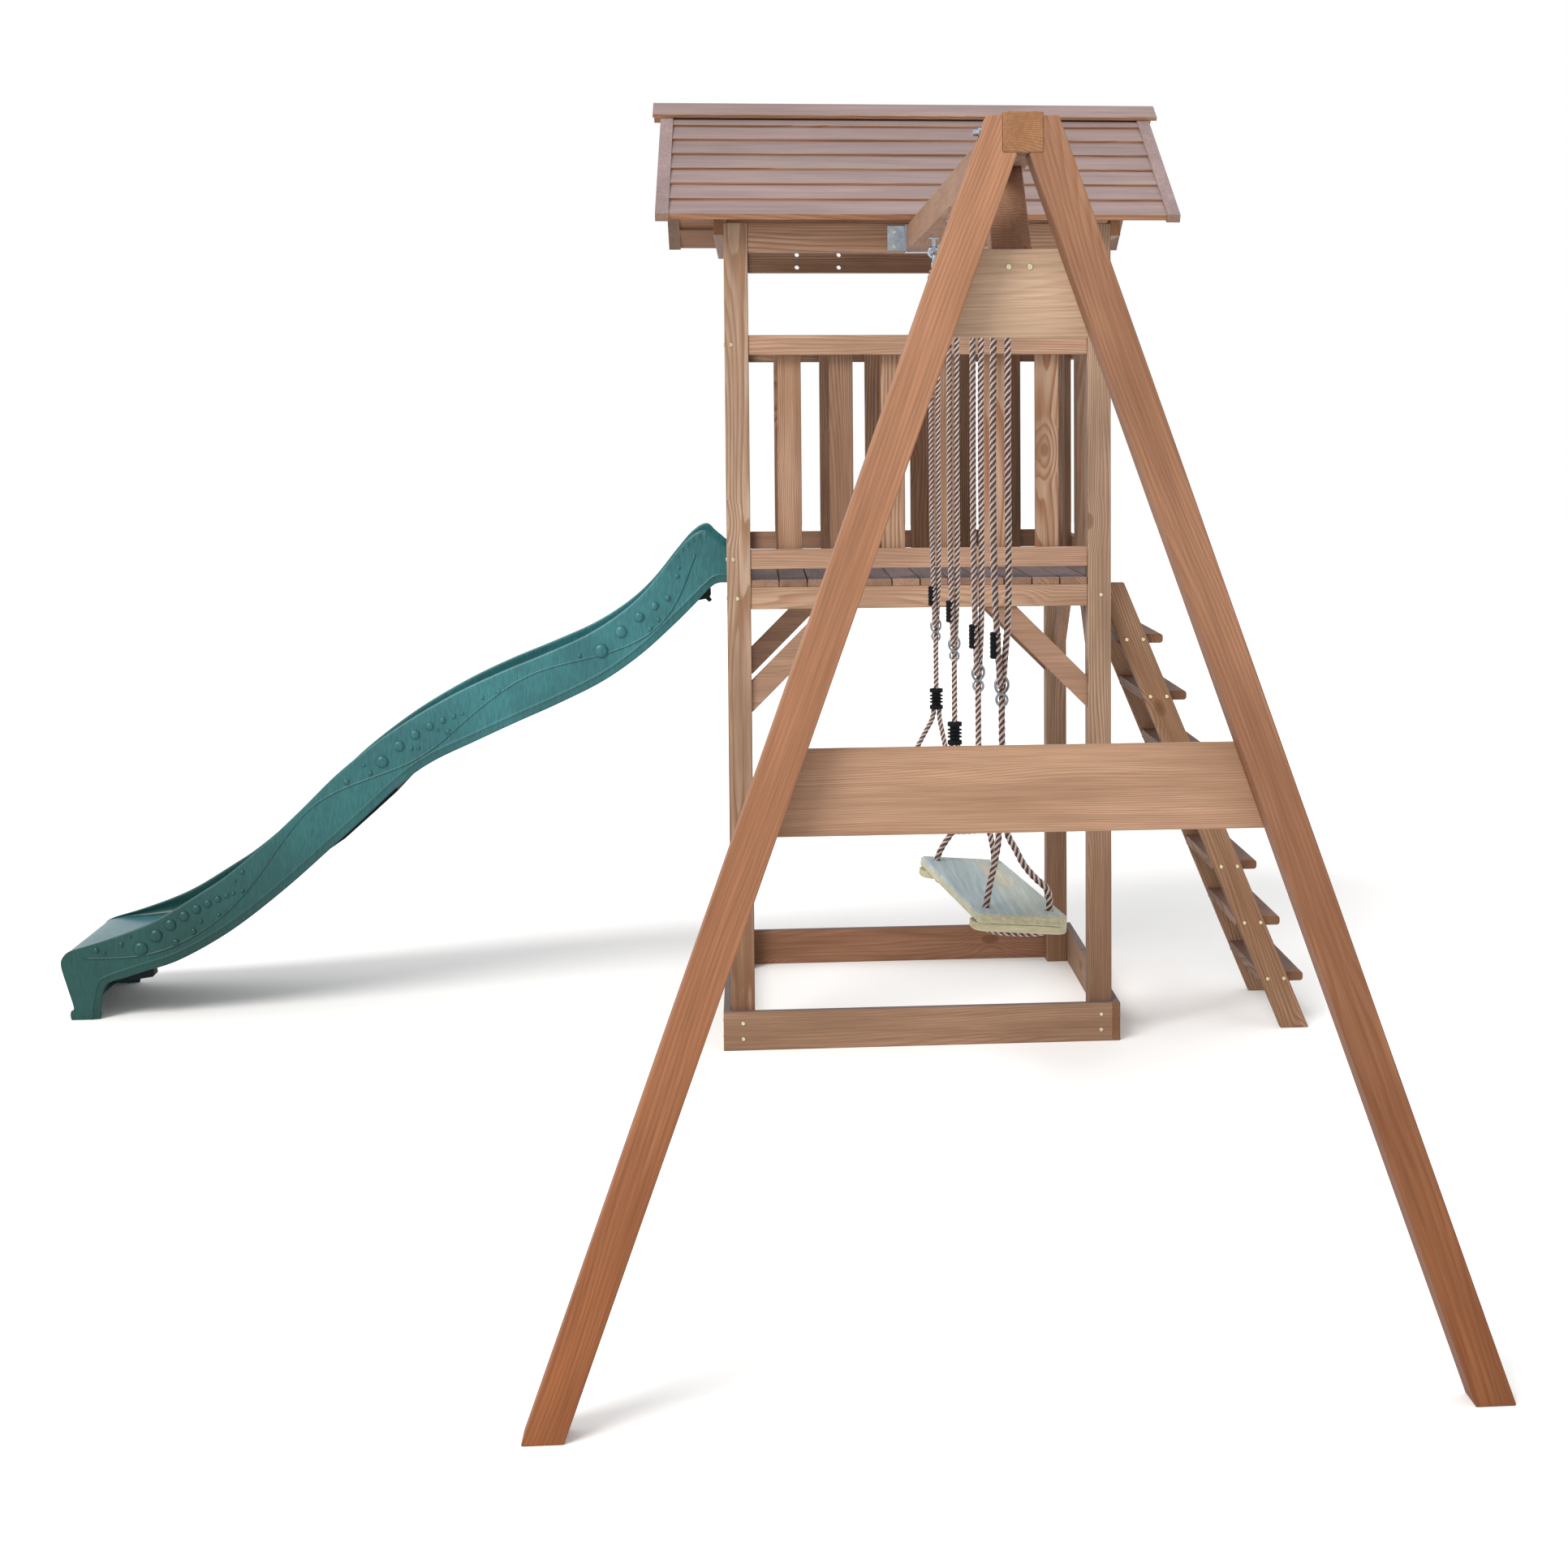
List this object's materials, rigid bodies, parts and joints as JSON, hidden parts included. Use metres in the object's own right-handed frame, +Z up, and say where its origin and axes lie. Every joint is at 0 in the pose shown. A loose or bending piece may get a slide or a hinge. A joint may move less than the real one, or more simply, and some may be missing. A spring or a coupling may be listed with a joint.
{
  "type": "play tower with swings",
  "caption": "Timber play tower with boarded roof, railed deck, side ladder and wave slide, joined by a beam to an A-frame with rope-hung wooden swing seats.",
  "frame": {"origin": "below the middle of the whole set, on the ground", "axes": "+X towards the ladder and -X down the slide, -Y out along the swing beam, +Z up"},
  "size_m": [3.308, 3.4944, 2.4553],
  "materials": {
    "post_timber": "dark brown planed softwood with streaked grain, matt",
    "base_timber": "brown impregnated softwood, matt",
    "weathered_timber": "pinkish grey-brown softwood, matt",
    "frame_timber": "orange-brown planed softwood with knots, matt",
    "pale_timber": "tan softwood, matt",
    "seat_timber": "pale planed pine, greenish cream, satin",
    "slide_plastic": "dark teal-green moulded plastic, satin",
    "black_plastic": "black moulded plastic",
    "zinc": "bright zinc-plated steel",
    "screw_zinc": "yellow zinc-plated steel",
    "rope": "twisted brown and beige rope"
  },
  "bodies": {
    "root": {"post_near_left": "post_timber", "post_near_right": "post_timber", "post_far_left": "post_timber", "post_far_right": "post_timber", "guard_uprights": "post_timber", "guard_rails_near": "post_timber", "guard_rails_far": "post_timber", "guard_rails_sides": "post_timber", "balusters_near": "post_timber", "balusters_far": "post_timber", "balusters_sides": "post_timber", "knee_braces_near_far": "post_timber", "knee_braces_sides": "post_timber", "top_beam_near": "post_timber", "top_beam_far": "post_timber", "gable_frames": "post_timber", "ladder_stringers": "post_timber", "base_board_near": "base_timber", "base_board_far": "base_timber", "base_board_slide_side": "base_timber", "base_board_ladder_side": "base_timber", "deck_joists": "base_timber", "deck_boards": "weathered_timber", "ladder_treads": "weathered_timber", "roof_boards_near": "weathered_timber", "roof_boards_far": "weathered_timber", "ridge_caps": "weathered_timber", "verge_trims": "weathered_timber", "swing_beam": "frame_timber", "beam_brace": "frame_timber", "leg_left": "frame_timber", "leg_right": "frame_timber", "crossboard_upper": "pale_timber", "crossboard_lower": "pale_timber", "slide": "slide_plastic", "slide_fittings": "black_plastic", "beam_saddle": "zinc", "leg_bolt": "zinc", "hook_bolts": "zinc", "timber_screws": "screw_zinc"},
    "near_swing": {"near_seat": "seat_timber", "near_seat_battens": "seat_timber", "near_rope_sleeves": "black_plastic", "near_rope_splitters": "black_plastic", "near_links": "zinc", "near_rope_adjusters": "zinc", "near_rope_a": "rope", "near_rope_b": "rope", "near_seat_rope_a": "rope", "near_seat_rope_b": "rope"},
    "far_swing": {"far_seat": "seat_timber", "far_seat_battens": "seat_timber", "far_rope_sleeves": "black_plastic", "far_rope_splitters": "black_plastic", "far_links": "zinc", "far_rope_adjusters": "zinc", "far_rope_a": "rope", "far_rope_b": "rope", "far_seat_rope_a": "rope", "far_seat_rope_b": "rope"}
  },
  "joints": [
    {"name": "near_swing_hinge", "type": "hinge", "parent": "root", "child": "near_swing", "pos_m": [0.6323, -1.1522, 1.9898], "axis": [0, 1, 0], "range_deg": [-50, 50]},
    {"name": "far_swing_hinge", "type": "hinge", "parent": "root", "child": "far_swing", "pos_m": [0.6323, -0.1022, 1.9898], "axis": [0, 1, 0], "range_deg": [-50, 50]}
  ]
}
